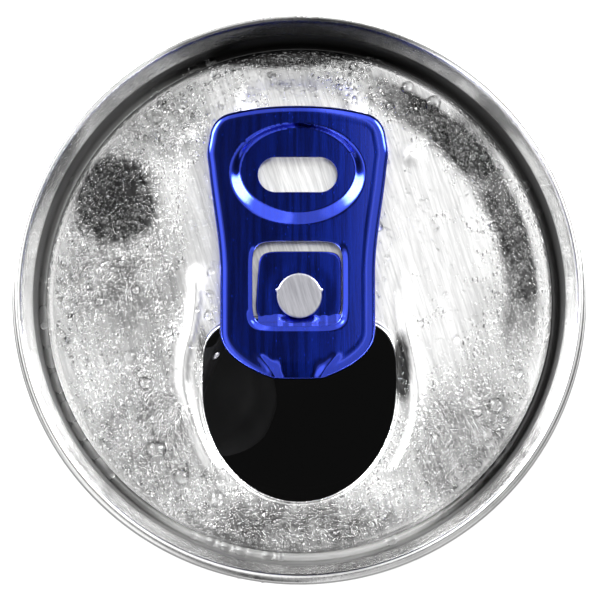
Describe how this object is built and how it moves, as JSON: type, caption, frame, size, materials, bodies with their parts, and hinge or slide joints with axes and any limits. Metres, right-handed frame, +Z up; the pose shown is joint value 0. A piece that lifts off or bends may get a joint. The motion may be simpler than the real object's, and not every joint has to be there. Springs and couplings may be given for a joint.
{
  "type": "drink can",
  "caption": "Slim bare aluminium drink can, opened: domed foot, necked wall, seamed end with an oval mouth, torn panel bent inside and a blue pull tab lying flat.",
  "frame": {"origin": "centre of the foot ring, on the can's axis", "axes": "+Z up the can's axis, +Y from the mouth towards the tab's finger end, +X to the right with the mouth nearest"},
  "size_m": [0.053, 0.053, 0.134],
  "materials": {
    "body_aluminium": "bare drawn aluminium, fine upright draw lines",
    "end_aluminium": "bare rolled aluminium, straight rolling grain, wet with condensation",
    "tab_lacquer": "clear blue lacquer over aluminium, glossy",
    "water": "clear water drops"
  },
  "bodies": {
    "can": {"can_body": "body_aluminium", "can_end": "end_aluminium", "tab_tongue": "tab_lacquer"},
    "tab": {"pull_tab": "tab_lacquer"}
  },
  "joints": [
    {"name": "tab_lift", "type": "hinge", "parent": "can", "child": "tab", "pos_m": [0, -0.0028, 0.12965], "axis": [1, 0, 0], "range_deg": [0, 80]}
  ]
}
